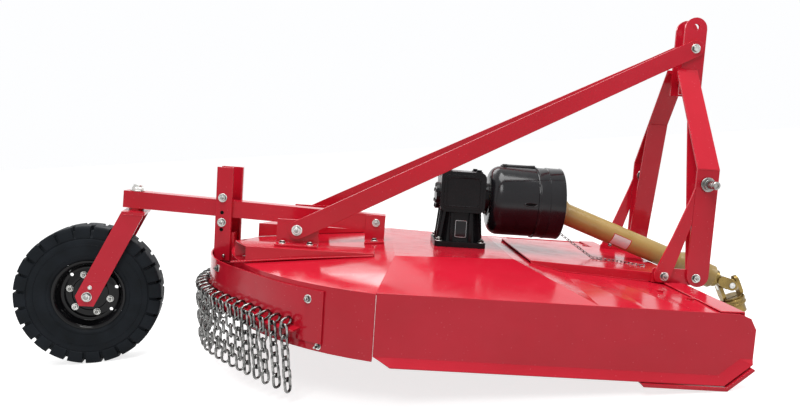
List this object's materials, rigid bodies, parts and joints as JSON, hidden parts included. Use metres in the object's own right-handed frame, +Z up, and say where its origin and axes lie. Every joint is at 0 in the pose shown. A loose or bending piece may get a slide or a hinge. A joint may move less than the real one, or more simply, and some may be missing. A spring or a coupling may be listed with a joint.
{
  "type": "tractor mounted rotary mower",
  "caption": "Rotary mower deck for a three-point hitch with gearbox, guarded drive shaft, chain curtain and castering tail wheel",
  "frame": {"origin": "on the ground below the middle of the machine's bounding box, as it stands parked", "axes": "+X forward, towards the tractor; +Y to the machine's left; +Z up"},
  "size_m": [2.2284, 1.208, 0.9315],
  "materials": {
    "red_paint": "gloss",
    "zinc_plate": "satin",
    "bare_steel": "matt",
    "black_paint": "satin",
    "black_plastic": "satin",
    "yellow_zinc": "satin",
    "tan_plastic": "satin",
    "tyre_rubber": "matt",
    "rim_paint": "gloss"
  },
  "bodies": {
    "frame": {"beam_bracket_left": "red_paint", "beam_bracket_right": "red_paint", "brace_bracket_left": "red_paint", "brace_bracket_right": "red_paint", "brace_left": "red_paint", "brace_right": "red_paint", "chain_curtain": "zinc_plate", "chain_guard": "red_paint", "clevis_bolt": "zinc_plate", "clevis_left": "red_paint", "clevis_right": "red_paint", "clevis_spacer": "red_paint", "deck_pan": "red_paint", "front_band": "red_paint", "front_fascia": "red_paint", "gearbox": "black_paint", "hitch_leg_left": "red_paint", "hitch_leg_right": "red_paint", "hitch_lug_left": "red_paint", "hitch_lug_right": "red_paint", "hitch_pin_left": "zinc_plate", "hitch_pin_right": "zinc_plate", "hitch_stay_left": "red_paint", "hitch_stay_right": "red_paint", "hitch_strut_left": "red_paint", "hitch_strut_right": "red_paint", "input_yoke": "yellow_zinc", "pto_shield": "black_plastic", "rear_rail_left": "red_paint", "rear_rail_right": "red_paint", "side_skirt_left": "red_paint", "side_skirt_right": "red_paint", "skid_left": "red_paint", "skid_right": "red_paint", "tail_beam": "red_paint", "tail_bracket": "red_paint", "upright_left": "red_paint", "upright_right": "red_paint"},
    "castor": {"castor_fork": "red_paint", "castor_nut": "zinc_plate", "axle_bolt": "zinc_plate"},
    "wheel": {"wheel_rim": "rim_paint", "tyre": "tyre_rubber"},
    "rotor": {"blade_pan": "bare_steel"},
    "blade_1": {"blade_1": "bare_steel"},
    "blade_2": {"blade_2": "bare_steel"},
    "drive_cross": {"drive_cross": "yellow_zinc"},
    "drive_guard": {"drive_guard": "tan_plastic", "drive_yoke": "yellow_zinc"},
    "drive_inner": {"drive_inner": "tan_plastic"},
    "end_yoke": {"end_yoke": "yellow_zinc"},
    "end_cross": {"end_cross": "yellow_zinc"},
    "tractor_yoke": {"tractor_yoke": "yellow_zinc"}
  },
  "joints": [
    {"name": "castor_swivel", "type": "hinge", "parent": "frame", "child": "castor", "pos_m": [-0.75228, 0, 0.45582], "axis": [0.1535, 0, 0.9882], "range_deg": [-129.4, 110.6]},
    {"name": "wheel_spin", "type": "hinge", "parent": "castor", "child": "wheel", "pos_m": [-0.90358, -0.01846, 0.2081], "axis": [-0.1614, 0.9866, 0.0251], "continuous": true},
    {"name": "rotor_spin", "type": "hinge", "parent": "frame", "child": "rotor", "pos_m": [0.197, 0, 0.17163], "axis": [0.1193, 0, 0.9929], "continuous": true},
    {"name": "blade_1_swing", "type": "hinge", "parent": "rotor", "child": "blade_1", "pos_m": [0.197, 0.2, 0.17163], "axis": [0.1193, 0, 0.9929], "range_deg": [-15, 195]},
    {"name": "blade_2_swing", "type": "hinge", "parent": "rotor", "child": "blade_2", "pos_m": [0.197, -0.2, 0.17163], "axis": [-0.1193, 0, -0.9929], "range_deg": [-15, 195]},
    {"name": "drive_lift", "type": "hinge", "parent": "frame", "child": "drive_cross", "pos_m": [0.47227, 0, 0.40042], "axis": [0, -1, 0], "range_deg": [0, 50]},
    {"name": "drive_swing", "type": "hinge", "parent": "drive_cross", "child": "drive_guard", "pos_m": [0.47227, 0, 0.40042], "axis": [0.4423, 0, 0.8968], "range_deg": [-10, 10]},
    {"name": "drive_slide", "type": "slide", "parent": "drive_guard", "child": "drive_inner", "axis": [0.8968, 0, -0.4423], "range_m": [-0.03, 0.12]},
    {"name": "yoke_spin", "type": "hinge", "parent": "drive_inner", "child": "end_yoke", "pos_m": [1.05522, 0, 0.11289], "axis": [0.8968, 0, -0.4423], "continuous": true},
    {"name": "yoke_bend", "type": "hinge", "parent": "end_yoke", "child": "end_cross", "pos_m": [1.05522, 0, 0.11289], "axis": [0, -1, 0], "range_deg": [0, 85]},
    {"name": "yoke_turn", "type": "hinge", "parent": "end_cross", "child": "tractor_yoke", "pos_m": [1.05522, 0, 0.11289], "axis": [0.947, 0, 0.3214], "range_deg": [-35, 35]}
  ],
  "couplings": [
    {"joint": "yoke_spin", "follows": "rotor_spin", "ratio": 0.5181}
  ]
}
